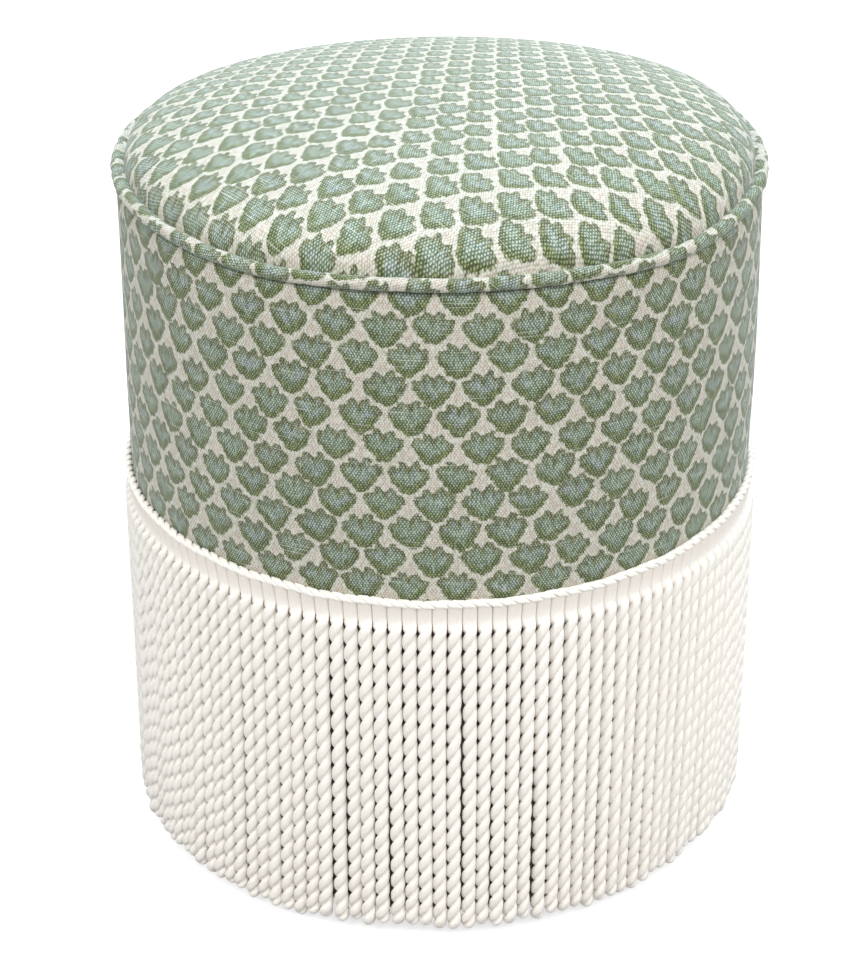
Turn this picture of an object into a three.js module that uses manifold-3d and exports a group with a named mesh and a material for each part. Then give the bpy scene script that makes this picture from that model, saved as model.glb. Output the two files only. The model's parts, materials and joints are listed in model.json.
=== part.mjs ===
// Round drum tuffet: a plywood and batten drum, a domed foam seat in printed linen with
// self piping, a padded linen side and a twisted bullion fringe that hangs to the floor.
// Millimetres, +Z up. The origin is on the floor under the middle of the drum, -Y is the front.

import * as THREE from 'three';
import { mergeVertices } from 'three/addons/utils/BufferGeometryUtils.js';
import Module from 'manifold-3d';

const wasm = await Module();
wasm.setup();

// Clearances
const fitGap = 0.3; // left between pieces that touch
const cutOverrun = 2; // how far a cutting shape runs past the face it opens
const weldTolerance = 0.0001; // vertices closer than this are one vertex

// Heights above the floor
const pipingHeight = 440; // centre of the piping
const fringeTopHeight = 239.5; // top of the fringe's edge cord
const hemHeight = 3.5; // ends of the bullion strands
const crownRise = 38; // middle of the seat above its rim

// Wooden frame
const wallRadius = 195; // outer face of the bent wall
const wallThickness = 4;
const wallJointWidth = 0.6; // slit where the two ends of the bent wall meet
const boardThickness = 15;
const postWidth = 38;
const postDepth = 25;
const postCount = 6;
const postTurnShare = 1 / 4; // of a full turn, which puts one batten behind the wall's joint

// Wood screws that hold the boards to the battens
const screwLength = 45;
const screwShankRadius = 2;
const screwHeadRadius = 4.2;
const screwHeadDepth = 3.2;
const screwTipLength = 5;

// Floor glides and their screws
const glideHeight = 12;
const glideRadius = 13;
const glideTopRadius = 11;
const glideEdge = 1.5; // rounding at the foot of a glide
const glideCount = 4;
const glideTurnShare = 1 / 8;
const glideInset = 27; // centre of a glide inside the wall's outer face
const glideScrewLength = 19;
const glideScrewSink = 5; // head below the glide's running face

// Soft layers
const coverThickness = 0.9; // printed linen
const liningThickness = 0.6; // dust cover under the base
const foamThickness = 55; // at the rim of the seat
const seatWaddingThickness = 4;
const sideWaddingThickness = 3.2;
const turnUnderWidth = 48; // side cover turned under the base
const liningMargin = 14; // dust cover stops this far inside the side cover
const crownPower = 4; // how far the middle of the seat stays level
const crownSteepness = 0.6; // how quickly it falls at the rim

// Piping
const pipingRadius = 3.6;
const pipingCoverThickness = 0.8;
const pipingProud = 2.6; // piping stands out past the side cover
const pipingAllowance = 10; // sewn edges of the bias strip, lying inside the seat

// Bullion fringe
const edgeCordRadius = 2;
const headerWidth = 13;
const headerThickness = 2;
const strandCount = 142;
const strandRadius = 4.1;
const strandNeckHalfWidth = 3.9;
const strandNeckHalfThickness = 0.6;
const strandNeckLength = 9; // where a strand rounds out below the header
const strandEmbed = 1.5; // strand yarn woven into the header

// Facets
const ringSteps = 60;
const crownSteps = 6;
const foamCrownSteps = 4;
const screwSides = 8;
const glideSides = 20;
const cordSides = 5;
const pipingSides = 7;
const pipingLiningSides = 5;
const strandSides = 5;

// Heights of the base, from the floor up
const liningBottom = glideHeight + fitGap;
const liningTop = liningBottom + liningThickness;
const coverBottom = liningTop + fitGap;
const baseBottom = coverBottom + coverThickness + fitGap;
const baseTop = baseBottom + boardThickness;

// Heights of the seat, from the piping down
const leafHalf = fitGap / 2 + pipingCoverThickness;
const seatRimHeight = pipingHeight + leafHalf + fitGap;
const underLeafHeight = pipingHeight - leafHalf - fitGap;
const coverTop = pipingHeight - pipingRadius - fitGap;
const foamRimHeight = underLeafHeight - seatWaddingThickness - fitGap;
const foamBottom = foamRimHeight - foamThickness;
const topBoardTop = foamBottom - fitGap;
const topBoardBottom = topBoardTop - boardThickness;

// Radii from the wall outwards
const wallBore = wallRadius - wallThickness;
const glideCircleRadius = wallRadius - glideInset;
const lowerCoverRadius = wallRadius + fitGap + coverThickness;
const sideWaddingBore = wallRadius + fitGap;
const sideWaddingRadius = sideWaddingBore + sideWaddingThickness;
const sideCoverRadius = sideWaddingRadius + fitGap + coverThickness;
const pipingCentreRadius = sideCoverRadius + pipingProud - pipingRadius;
const leafTipRadius = pipingCentreRadius - pipingRadius - pipingAllowance;
const seatEdgeRadius = pipingCentreRadius - pipingRadius - fitGap;

// Heights of the fringe
const edgeCordHeight = fringeTopHeight - edgeCordRadius;
const headerTop = fringeTopHeight - 2 * edgeCordRadius - fitGap;
const headerBottom = headerTop - headerWidth;

const linen = { color: 0x98a08a, roughness: 0.92, metalness: 0 };
const ivoryYarn = { color: 0xf0ece3, roughness: 0.7, metalness: 0 };
const plywood = { color: 0xc9a577, roughness: 0.75, metalness: 0 };
const softwood = { color: 0xd8b98a, roughness: 0.8, metalness: 0 };
const wadding = { color: 0xf2f2ee, roughness: 1, metalness: 0 };
const foam = { color: 0xe6dcb8, roughness: 1, metalness: 0 };
const lining = { color: 0x232322, roughness: 0.95, metalness: 0 };
const glidePlastic = { color: 0x2a2320, roughness: 0.45, metalness: 0 };
const zinc = { color: 0xb9bcbf, roughness: 0.35, metalness: 0.9 };

const tuffet = new THREE.Group();

function place(name, finish, geometry) {
  const mesh = new THREE.Mesh(geometry, new THREE.MeshStandardMaterial(finish));
  mesh.name = name;
  tuffet.add(mesh);
  return mesh;
}

// A profile of [radius, height] pairs, anticlockwise seen with +Z up, turned about the Z axis.
function turned(profile, steps = ringSteps) {
  const points = profile.map(([radius, height]) => new THREE.Vector2(radius, height));
  return new THREE.LatheGeometry(points, steps).rotateX(Math.PI / 2);
}

// A closed ring whose profile starts and ends at the same point.
function turnedRing(profile, steps = ringSteps) {
  return turned([...profile, profile[0]], steps);
}

function box(sizeX, sizeY, sizeZ, centreX, centreY, centreZ) {
  return new THREE.BoxGeometry(sizeX, sizeY, sizeZ).translate(centreX, centreY, centreZ);
}

function toSolid(geometry) {
  const bare = geometry.clone();
  bare.deleteAttribute('normal');
  bare.deleteAttribute('uv');
  const welded = mergeVertices(bare, weldTolerance);
  const corners = welded.index.array;
  const triangles = [];
  for (let i = 0; i < corners.length; i += 3) {
    const [a, b, c] = corners.slice(i, i + 3);
    if (a !== b && b !== c && c !== a) triangles.push(a, b, c);
  }
  return new wasm.Manifold(new wasm.Mesh({
    numProp: 3,
    vertProperties: new Float32Array(welded.attributes.position.array),
    triVerts: new Uint32Array(triangles),
  }));
}

function toGeometry(solid) {
  const mesh = solid.getMesh();
  const geometry = new THREE.BufferGeometry();
  geometry.setAttribute('position', new THREE.BufferAttribute(mesh.vertProperties, mesh.numProp));
  geometry.setIndex(new THREE.BufferAttribute(mesh.triVerts, 1));
  geometry.computeVertexNormals();
  return geometry;
}

function cutFrom(geometry, cutters) {
  const cut = cutters.reduce((solid, cutter) => solid.subtract(toSolid(cutter)), toSolid(geometry));
  return toGeometry(cut);
}

function turnAngle(index, count, startShare) {
  return 2 * Math.PI * (startShare + index / count);
}

// Height of the seat's dome above its rim, at a share of its radius.
function domeShare(radiusShare) {
  return (1 - radiusShare ** crownPower) ** crownSteepness;
}

// Points of a dome from its edge to its middle, closer together near the edge.
function domeProfile(edgeRadius, rimHeight, rise, steps) {
  const points = [];
  for (let i = 0; i <= steps; i++) {
    const radius = i === steps ? 0 : edgeRadius * Math.cos((Math.PI / 2) * (i / steps));
    points.push([radius, rimHeight + rise * domeShare(radius / edgeRadius)]);
  }
  return points;
}

// The part of a dome's profile inside a radius, cut on the chord that crosses it.
function insideRadius(profile, radius) {
  const next = profile.findIndex((point) => point[0] < radius);
  const [outer, inner] = [profile[next - 1], profile[next]];
  const share = (outer[0] - radius) / (outer[0] - inner[0]);
  return [[radius, outer[1] + (inner[1] - outer[1]) * share], ...profile.slice(next)];
}

// Points on an arc about a centre, by angles from the outward direction.
function arcProfile(centreRadius, centreHeight, radius, fromAngle, toAngle, steps) {
  const points = [];
  for (let i = 0; i <= steps; i++) {
    const angle = fromAngle + (toAngle - fromAngle) * (i / steps);
    points.push([centreRadius + radius * Math.cos(angle), centreHeight + radius * Math.sin(angle)]);
  }
  return points;
}

function roundRing(centreRadius, centreHeight, radius, sides) {
  return turned(arcProfile(centreRadius, centreHeight, radius, 0, 2 * Math.PI, sides));
}

// Countersunk wood screw with its head at the origin and its point up.
function woodScrew(length) {
  return turned([
    [0, 0],
    [screwHeadRadius, 0],
    [screwShankRadius, screwHeadDepth],
    [screwShankRadius, length - screwTipLength],
    [0, length],
  ], screwSides);
}

// The hole that the screw is driven into, with a straight bore below the head.
function screwHole(length, boreLength) {
  return turned([
    [0, -boreLength],
    [screwHeadRadius + fitGap, -boreLength],
    [screwHeadRadius + fitGap, 0],
    [screwShankRadius + fitGap, screwHeadDepth],
    [screwShankRadius + fitGap, length - screwTipLength + fitGap],
    [0, length + fitGap],
  ], screwSides);
}

// The battens' outer corners clear the flats of the faceted wall.
const wallBoreFlat = wallBore * Math.cos(Math.PI / ringSteps);
const postFace = Math.sqrt((wallBoreFlat - fitGap) ** 2 - (postWidth / 2) ** 2);
const postCentreRadius = postFace - postDepth / 2;
const postAngles = Array.from({ length: postCount }, (_, i) => turnAngle(i, postCount, postTurnShare));
const glideAngles = Array.from({ length: glideCount }, (_, i) => turnAngle(i, glideCount, glideTurnShare));

function atPost(geometry, angle, height) {
  return geometry.clone().translate(postCentreRadius, 0, height).rotateZ(angle);
}

function atGlide(geometry, angle, height) {
  return geometry.clone().translate(glideCircleRadius, 0, height).rotateZ(angle);
}

// Base and top boards, held to the battens by countersunk screws
const baseScrewHole = screwHole(screwLength, cutOverrun);
const topScrewHole = baseScrewHole.clone().rotateX(Math.PI);
const glideScrewHole = screwHole(glideScrewLength, glideHeight + cutOverrun);
const baseScrewHeight = baseBottom;
const topScrewHeight = topBoardTop;

function roundBoard(bottom) {
  const radius = wallBore - fitGap;
  const top = bottom + boardThickness;
  return turned([[0, bottom], [radius, bottom], [radius, top], [0, top]]);
}

const baseScrewCuts = postAngles.map((angle) => atPost(baseScrewHole, angle, baseScrewHeight));
const topScrewCuts = postAngles.map((angle) => atPost(topScrewHole, angle, topScrewHeight));
const glideCuts = glideAngles.map((angle) => atGlide(glideScrewHole, angle, glideScrewSink));
place('base_board', plywood, cutFrom(roundBoard(baseBottom), [...baseScrewCuts, ...glideCuts]));
place('top_board', plywood, cutFrom(roundBoard(topBoardBottom), topScrewCuts));

// Battens that stand between the boards, against the wall
const postBottom = baseTop + fitGap;
const postHeight = topBoardBottom - fitGap - postBottom;
postAngles.forEach((angle, i) => {
  const batten = box(postDepth, postWidth, postHeight, 0, 0, postHeight / 2);
  const post = cutFrom(atPost(batten, angle, postBottom), [baseScrewCuts[i], topScrewCuts[i]]);
  place(`frame_post_${i + 1}`, softwood, post);
});
postAngles.forEach((angle, i) => {
  place(`base_screw_${i + 1}`, zinc, atPost(woodScrew(screwLength), angle, baseScrewHeight));
});
postAngles.forEach((angle, i) => {
  const screw = woodScrew(screwLength).rotateX(Math.PI);
  place(`top_screw_${i + 1}`, zinc, atPost(screw, angle, topScrewHeight));
});

// Thin wall bent round the boards, its two ends butted over the back batten
const wallRing = turnedRing([
  [wallBore, baseBottom], [wallRadius, baseBottom], [wallRadius, topBoardTop], [wallBore, topBoardTop],
]);
const wallHeight = topBoardTop - baseBottom;
const wallSlit = box(
  wallJointWidth, wallThickness + 2 * cutOverrun, wallHeight + 2 * cutOverrun,
  0, wallRadius - wallThickness / 2, baseBottom + wallHeight / 2,
);
place('wall_panel', plywood, cutFrom(wallRing, [wallSlit]));

// Foam seat pad with a level rim and a crowned middle
const foamCrownRadius = leafTipRadius - fitGap - seatWaddingThickness;
const coverInset = coverThickness + fitGap;
const foamMiddle = seatRimHeight + crownRise - coverInset - seatWaddingThickness - fitGap;
const foamRise = foamMiddle - foamRimHeight;
place('foam_pad', foam, turned([
  [0, foamBottom],
  [wallRadius, foamBottom],
  [wallRadius, foamRimHeight],
  ...domeProfile(foamCrownRadius, foamRimHeight, foamRise, foamCrownSteps),
]));

// Wadding over the foam, stepped down under the sewn edges of the piping
const waddingRise = crownRise - coverInset;
const waddingDome = domeProfile(seatEdgeRadius - coverInset, seatRimHeight, waddingRise, crownSteps);
place('seat_wadding', wadding, turned([
  ...domeProfile(foamCrownRadius, foamRimHeight + fitGap, foamRise, foamCrownSteps).reverse(),
  [wallRadius, foamRimHeight + fitGap],
  [wallRadius, underLeafHeight],
  [leafTipRadius - fitGap, underLeafHeight],
  ...insideRadius(waddingDome, leafTipRadius - fitGap),
]));

// Domed linen top, sewn to the piping along its edge
place('seat_cover', linen, turned([
  ...domeProfile(
    seatEdgeRadius - coverThickness, seatRimHeight, crownRise - coverThickness, crownSteps,
  ).reverse(),
  ...domeProfile(seatEdgeRadius, seatRimHeight, crownRise, crownSteps),
]));

// Bias strip folded round the piping's filler cord, its two edges lying inwards
const slitHalf = fitGap / 2;
const pipingBore = pipingRadius - pipingCoverThickness;
const outerLeafAngle = Math.asin(leafHalf / pipingRadius);
const innerLeafAngle = Math.asin(slitHalf / pipingBore);
place('piping_cover', linen, turnedRing([
  [leafTipRadius, pipingHeight - leafHalf],
  ...arcProfile(
    pipingCentreRadius, pipingHeight, pipingRadius,
    outerLeafAngle - Math.PI, Math.PI - outerLeafAngle, pipingSides,
  ),
  [leafTipRadius, pipingHeight + leafHalf],
  [leafTipRadius, pipingHeight + slitHalf],
  ...arcProfile(
    pipingCentreRadius, pipingHeight, pipingBore,
    Math.PI - innerLeafAngle, innerLeafAngle - Math.PI, pipingLiningSides,
  ),
  [leafTipRadius, pipingHeight - slitHalf],
]));
const pipingCordRadius = pipingBore * Math.cos(Math.PI / pipingLiningSides) - fitGap;
place('piping_cord', ivoryYarn, roundRing(pipingCentreRadius, pipingHeight, pipingCordRadius, cordSides));

// Wadding round the drum, from the fringe up to the piping
place('side_wadding', wadding, turnedRing([
  [sideWaddingBore, headerTop], [sideWaddingRadius, headerTop],
  [sideWaddingRadius, coverTop], [sideWaddingBore, coverTop],
]));

// Linen side, drawn in under the fringe's header and turned under the base
const turnUnderRadius = lowerCoverRadius - turnUnderWidth;
const sideCoverRing = turnedRing([
  [turnUnderRadius, coverBottom],
  [lowerCoverRadius, coverBottom],
  [lowerCoverRadius, headerBottom],
  [sideCoverRadius, headerTop],
  [sideCoverRadius, coverTop],
  [sideCoverRadius - coverThickness, coverTop],
  [sideCoverRadius - coverThickness, headerTop],
  [lowerCoverRadius - coverThickness, headerBottom],
  [lowerCoverRadius - coverThickness, coverBottom + coverThickness],
  [turnUnderRadius, coverBottom + coverThickness],
]);
place('side_cover', linen, cutFrom(sideCoverRing, glideCuts));

// Dust cover over the base and the turned-under linen
const liningRadius = lowerCoverRadius - liningMargin;
const liningDisc = turned([
  [0, liningBottom], [liningRadius, liningBottom], [liningRadius, liningTop], [0, liningTop],
]);
place('dust_cover', lining, cutFrom(liningDisc, glideCuts));

// Glides screwed through the covers into the base board
const glideShape = turned([
  [0, 0],
  [glideRadius - glideEdge, 0],
  [glideRadius, glideEdge],
  [glideTopRadius, glideHeight],
  [0, glideHeight],
], glideSides);
glideAngles.forEach((angle, i) => {
  place(`glide_${i + 1}`, glidePlastic, cutFrom(atGlide(glideShape, angle, 0), [glideCuts[i]]));
});
glideAngles.forEach((angle, i) => {
  place(`glide_screw_${i + 1}`, zinc, atGlide(woodScrew(glideScrewLength), angle, glideScrewSink));
});

// Twisted cord along the top edge of the fringe
const edgeCordCentreRadius = sideCoverRadius + fitGap + edgeCordRadius;
const edgeCordRing = roundRing(edgeCordCentreRadius, edgeCordHeight, edgeCordRadius, cordSides);
place('fringe_edge_cord', ivoryYarn, edgeCordRing);

// One bullion strand, from its flat neck in the header to its looped end
const headerBottomMiddle = lowerCoverRadius + fitGap + headerThickness / 2;
const strandCentreRadius = lowerCoverRadius + fitGap + strandRadius;
const strandSections = [
  [headerBottom + strandEmbed, headerBottomMiddle, strandNeckHalfThickness, strandNeckHalfWidth],
  [headerBottom - strandNeckLength, strandCentreRadius, strandRadius, strandRadius],
  [hemHeight, strandCentreRadius, strandRadius, strandRadius],
];

function strandGeometry() {
  const positions = [];
  for (const [height, centreRadius, halfThickness, halfWidth] of strandSections) {
    for (let i = 0; i < strandSides; i++) {
      const angle = 2 * Math.PI * (i / strandSides);
      positions.push(centreRadius + halfThickness * Math.cos(angle), halfWidth * Math.sin(angle), height);
    }
  }
  const corners = [];
  for (let ring = 0; ring + 1 < strandSections.length; ring++) {
    for (let i = 0; i < strandSides; i++) {
      const above = ring * strandSides + i;
      const aboveNext = ring * strandSides + ((i + 1) % strandSides);
      const below = above + strandSides;
      const belowNext = aboveNext + strandSides;
      corners.push(above, below, belowNext, above, belowNext, aboveNext);
    }
  }
  const lastRing = (strandSections.length - 1) * strandSides;
  for (let i = 1; i + 1 < strandSides; i++) {
    corners.push(0, i, i + 1);
    corners.push(lastRing, lastRing + i + 1, lastRing + i);
  }
  const geometry = new THREE.BufferGeometry();
  geometry.setAttribute('position', new THREE.Float32BufferAttribute(positions, 3));
  geometry.setIndex(corners);
  return geometry;
}

// Header band and its strands, woven as one piece and butted at the back
const headerRing = turnedRing([
  [lowerCoverRadius + fitGap, headerBottom],
  [lowerCoverRadius + fitGap + headerThickness, headerBottom],
  [sideCoverRadius + fitGap + headerThickness, headerTop],
  [sideCoverRadius + fitGap, headerTop],
]);
const strand = strandGeometry();
let fringe = toSolid(headerRing);
for (let i = 0; i < strandCount; i++) {
  fringe = fringe.add(toSolid(strand.clone().rotateZ(turnAngle(i + 1 / 2, strandCount, 0))));
}
place('bullion_fringe', ivoryYarn, toGeometry(fringe));

export default tuffet;
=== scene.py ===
import json
import math
import random

import bpy
import mathutils
import numpy as np
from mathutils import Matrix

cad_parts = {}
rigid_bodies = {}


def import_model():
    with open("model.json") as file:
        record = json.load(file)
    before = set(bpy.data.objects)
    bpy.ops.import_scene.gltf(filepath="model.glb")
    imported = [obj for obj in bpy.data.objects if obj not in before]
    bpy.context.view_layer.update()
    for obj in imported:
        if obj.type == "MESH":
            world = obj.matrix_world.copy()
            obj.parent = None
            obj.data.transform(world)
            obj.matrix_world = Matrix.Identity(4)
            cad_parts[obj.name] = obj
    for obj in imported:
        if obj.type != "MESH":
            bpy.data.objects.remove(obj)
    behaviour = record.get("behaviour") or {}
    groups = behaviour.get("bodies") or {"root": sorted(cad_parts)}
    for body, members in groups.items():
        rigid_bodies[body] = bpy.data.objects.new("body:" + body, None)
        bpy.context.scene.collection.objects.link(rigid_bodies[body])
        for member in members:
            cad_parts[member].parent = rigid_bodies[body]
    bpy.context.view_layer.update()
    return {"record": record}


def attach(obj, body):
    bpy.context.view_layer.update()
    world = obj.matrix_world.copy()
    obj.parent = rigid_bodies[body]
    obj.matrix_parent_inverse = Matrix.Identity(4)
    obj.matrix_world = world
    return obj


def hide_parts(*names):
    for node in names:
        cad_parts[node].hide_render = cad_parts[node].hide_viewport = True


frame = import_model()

# Metres, +Z up. The drum stands on the floor at the origin and its front faces -Y.
# A bearing is the angle round the drum from the front, growing towards +X.

# Heights above the floor
STRAND_END_HEIGHT = 0.0035
STAPLE_HEIGHT = 0.0118
DUST_COVER_HEIGHT = 0.0126
TURN_UNDER_HEIGHT = 0.0133
HEADER_BOTTOM = 0.2222
NECK_BOTTOM = 0.2236
HEADER_TOP = 0.2352
EDGE_CORD_HEIGHT = 0.2375
RIM_WAVE_START = 0.4000
SIDE_WADDING_TOP = 0.4338
FOAM_RIM_HEIGHT = 0.43485
PIPING_HEIGHT = 0.4402
SEAT_RIM_HEIGHT = 0.44125
FOAM_CROWN = 0.0393
SEAT_CROWN = 0.0365

# Radii of the drum and of what is sewn or stapled to it
TURN_UNDER_RADIUS = 0.1485
STAPLE_RADIUS = 0.1765
FOAM_RADIUS = 0.1808
DUST_COVER_RADIUS = 0.1820
PAD_TOP_RADIUS = 0.1838
SEAT_EDGE_RADIUS = 0.1948
WALL_RADIUS = 0.1953
LOWER_COVER_RADIUS = 0.1962
TAPE_RADIUS = 0.1966
PIPING_RING_RADIUS = 0.1987
HEADER_RADIUS = 0.1996
SIDE_COVER_RADIUS = 0.1997
DRUM_RADIUS = 0.2000
STRAND_RING_RADIUS = 0.2006
EDGE_CORD_RADIUS = 0.2020

# Cloth and cords, the round ones by their half width
LINEN_THICKNESS = 0.0009
PIPING_HALF = 0.0040
FILLER_CORD_HALF = 0.0023
LINEN_GIVE = 0.0012

# The linen's print in millimetres: petals in staggered rows, as on the real cloth
PETAL_PITCH = 28.1
PETAL_ROW = 18.5
PETAL_RISE = 1.0
WARP_PITCH = 0.94
WEFT_PITCH = 1.5

# A petal's outline: degrees from straight up, how far it reaches from its middle, and the most
# that it could reach
PETAL_OUTLINE = (
    (0, 7.6), (8, 8.5), (20, 11.1), (30, 11.7), (39, 10.9), (46, 9.8), (54, 10.7), (64, 12.4),
    (76, 12.8), (88, 12.1), (98, 11.2), (115, 10.2), (133, 9.9), (150, 10.4), (165, 11.2), (180, 11.6),
)
PETAL_REACH = 14

# Where the print starts on the side and on the bias-cut piping
SIDE_PRINT_BEARING = 0.0198
SIDE_PRINT_HEIGHT = 0.3388
PIPING_PRINT_START = (0.0041, 0.0107)

# The seat's print is finer than the side's: metres of print on a metre of cloth, and how much more
# a metre further back. Its rows bow at the sides, and it's turned on the seat.
SEAT_PRINT_ACROSS = 1.33
SEAT_PRINT_ACROSS_MORE = 1.94
SEAT_PRINT_BACK = 1.24
SEAT_PRINT_BACK_MORE = 1.40
SEAT_PRINT_BOW = 0.73
SEAT_PRINT_TURN = math.radians(41.4)
SEAT_PRINT_START = (0.0061, -0.0235)

# The fringe: a strand is two plies pressed side by side, and flat where it's sewn to the header
STRAND_COUNT = 142
STRAND_GROUPS = 6
STRAND_SIDES = 20
STRAND_PLIES = (0.00272, 0.00348, 0.00193)
STRAND_TWIST = 0.0254
STRAND_WIDTH = 0.0085
NECK_HALF_WIDTH = 0.00438
NECK_HALF_THICKNESS = 0.00165
LOOP_HALF_WIDTH = 0.0042
LOOP_HALF_THICKNESS = 0.0036

# The fringe's edge cord
EDGE_CORD_SIDES = 16
EDGE_CORD_TURNS = 79
EDGE_CORD_PLIES = (0.00135, 0.00208, 0.00122)

# Where the fringe parts, as places between two strands, and how far it's pushed aside there
PARTINGS = ((1.5, 0.0005), (135.5, 0.0003), (11.5, 0.0002), (127.5, 0.0003), (62.5, 0.0004))

STAPLE_COUNT = 44

dice = random.Random(7)


# Hand tools

def clear_selection():
    if bpy.context.object and bpy.context.object.mode != "OBJECT":
        bpy.ops.object.mode_set(mode="OBJECT")
    bpy.ops.object.select_all(action="DESELECT")


def pick_up(piece):
    clear_selection()
    piece.select_set(True)
    bpy.context.view_layer.objects.active = piece


def edit_all(piece):
    pick_up(piece)
    bpy.ops.object.mode_set(mode="EDIT")
    bpy.ops.mesh.select_all(action="SELECT")


def stop_editing():
    bpy.ops.object.mode_set(mode="OBJECT")


def extrude(across, back, up):
    bpy.ops.mesh.extrude_region_move(TRANSFORM_OT_translate={"value": (across, back, up)})


def push_out(piece, kind, numbers, step):
    """Extrudes a piece's edges or faces of the given numbers."""
    edit_all(piece)
    bpy.ops.mesh.select_all(action="DESELECT")
    stop_editing()
    parts = piece.data.edges if kind == "EDGE" else piece.data.polygons
    for number in numbers:
        parts[number].select = True
    bpy.ops.object.mode_set(mode="EDIT")
    bpy.ops.mesh.select_mode(type=kind)
    extrude(*step)
    bpy.ops.mesh.select_mode(type="VERT")
    stop_editing()


def rename(name):
    piece = bpy.context.object
    piece.name = name
    piece.data.name = name
    return piece


def adjust(thing, **settings):
    for setting, value in settings.items():
        setattr(thing, setting, value)


def copy_of(piece):
    copy = piece.copy()
    copy.data = piece.data.copy()
    bpy.context.collection.objects.link(copy)
    return copy


def join(copies, name):
    clear_selection()
    for copy in copies:
        copy.select_set(True)
    bpy.context.view_layer.objects.active = copies[0]
    bpy.ops.object.join()
    return rename(name)


def points_of(piece):
    flat = np.empty(len(piece.data.vertices) * 3)
    piece.data.vertices.foreach_get("co", flat)
    return flat.reshape(-1, 3)


def set_points(piece, points):
    piece.data.vertices.foreach_set("co", np.ascontiguousarray(points).ravel())
    piece.data.update()


def bearings(points):
    return np.arctan2(points[:, 0], -points[:, 1])


def radii(points):
    return np.hypot(points[:, 0], points[:, 1])


def round_drum(bearing, radius, height):
    return np.column_stack([np.sin(bearing) * radius, -np.cos(bearing) * radius, height])


def turned(across, out, angle):
    """The same outline turned round its own middle."""
    return across * np.cos(angle) - out * np.sin(angle), across * np.sin(angle) + out * np.cos(angle)


def part_way(value, start, end):
    """How far a value has come from start to end, 0 to 1."""
    return np.clip((value - start) / (end - start), 0, 1)


def face_outwards(piece):
    edit_all(piece)
    bpy.ops.mesh.remove_doubles(threshold=0.00001)
    bpy.ops.mesh.normals_make_consistent(inside=False)
    stop_editing()


def apply_modifier(piece, kind, **settings):
    pick_up(piece)
    modifier = piece.modifiers.new(kind.lower(), kind)
    adjust(modifier, **settings)
    bpy.ops.object.modifier_apply(modifier=modifier.name)


def draw_profile(name, line):
    """A line of (radius, height) points drawn at the back of the drum, ready to be spun round it."""
    clear_selection()
    radius, height = line[0]
    bpy.ops.mesh.primitive_plane_add(size=0.0005, location=(0.0, radius, height))
    piece = rename(name)
    bpy.ops.object.transform_apply(location=True, rotation=False, scale=False)
    edit_all(piece)
    bpy.ops.mesh.merge(type="CENTER")
    for start, end in zip(line, line[1:]):
        extrude(0.0, end[0] - start[0], end[1] - start[1])
    stop_editing()
    return piece


def spin_round(piece, steps, turn=2 * math.pi):
    edit_all(piece)
    bpy.ops.mesh.spin(steps=steps, angle=turn, center=(0.0, 0.0, 0.0), axis=(0.0, 0.0, 1.0))
    bpy.ops.mesh.select_all(action="SELECT")
    bpy.ops.mesh.remove_doubles(threshold=0.00001)
    stop_editing()


def bend_round(name, sides, half_width, ring_radius, height, steps):
    """A plain round cord laid in a ring: one section spun round the drum."""
    clear_selection()
    bpy.ops.mesh.primitive_circle_add(
        vertices=sides, radius=half_width, fill_type="NOTHING",
        location=(0.0, ring_radius, height), rotation=(0.0, math.radians(90), 0.0),
    )
    ring = rename(name)
    bpy.ops.object.transform_apply(location=True, rotation=True, scale=False)
    spin_round(ring, steps)
    return ring


def finer_line(line, step):
    """The same line with points no further apart than a step."""
    fine = [line[0]]
    for start, end in zip(line, line[1:]):
        parts = max(1, math.ceil(math.dist(start, end) / step))
        for part in range(1, parts + 1):
            share = part / parts
            fine.append((start[0] + (end[0] - start[0]) * share, start[1] + (end[1] - start[1]) * share))
    return fine


def set_cloth(piece, across, along):
    """Writes the "cloth" UV map, in metres of print, from one value for each corner."""
    layer = piece.data.uv_layers.new(name="cloth")
    layer.data.foreach_set("uv", np.column_stack([across, along]).ravel())


def corner_points(piece):
    """The number of the point at each corner of each face."""
    numbers = np.empty(len(piece.data.loops), dtype=int)
    piece.data.loops.foreach_get("vertex_index", numbers)
    return numbers


def lay_cloth(piece, place):
    """Lays cloth round the drum.

    place gets a corner's bearing, radius and height, with the bearing running on past the back
    seam so that no face is torn across it.
    """
    faces = piece.data.polygons
    sizes = np.empty(len(faces), dtype=int)
    faces.foreach_get("loop_total", sizes)
    centres = np.empty(len(faces) * 3)
    faces.foreach_get("center", centres)
    face_bearing = np.repeat(bearings(centres.reshape(-1, 3)), sizes)
    corners = points_of(piece)[corner_points(piece)]
    bearing = bearings(corners) - face_bearing
    bearing = face_bearing + (bearing + math.pi) % (2 * math.pi) - math.pi
    set_cloth(piece, *place(bearing, radii(corners), corners[:, 2]))


def hand_over(piece, node, slot, angle=50, finish=None):
    """Smooths a finished piece and gives it its material; it replaces a CAD node if there's one."""
    if angle:
        pick_up(piece)
        bpy.ops.object.shade_smooth_by_angle(angle=math.radians(angle))
    piece.data.materials.clear()
    piece.data.materials.append(finish or FINISHES[slot])
    if node:
        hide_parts(node)
    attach(piece, "root")
    return piece


# How the sewn edges wander round the drum

def wave(bearing, centre, width, height):
    """A soft rise of the given height round one bearing, in degrees."""
    return height * np.exp(-(((np.degrees(bearing) - centre) / width) ** 2))


def rim_wave(bearing):
    """How far the sewn rim dips in front, where the padding pulls on it, and rises behind."""
    dips = wave(bearing, -31, 15, -0.0022) + wave(bearing, 44, 15, -0.0032)
    return dips + wave(np.abs(bearing), 112, 32, 0.0034)


def side_rim_wave(points):
    """How far the rim carries the upper side along."""
    return rim_wave(bearings(points)) * part_way(points[:, 2], RIM_WAVE_START, RIM_WAVE_START + 0.035)


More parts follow.
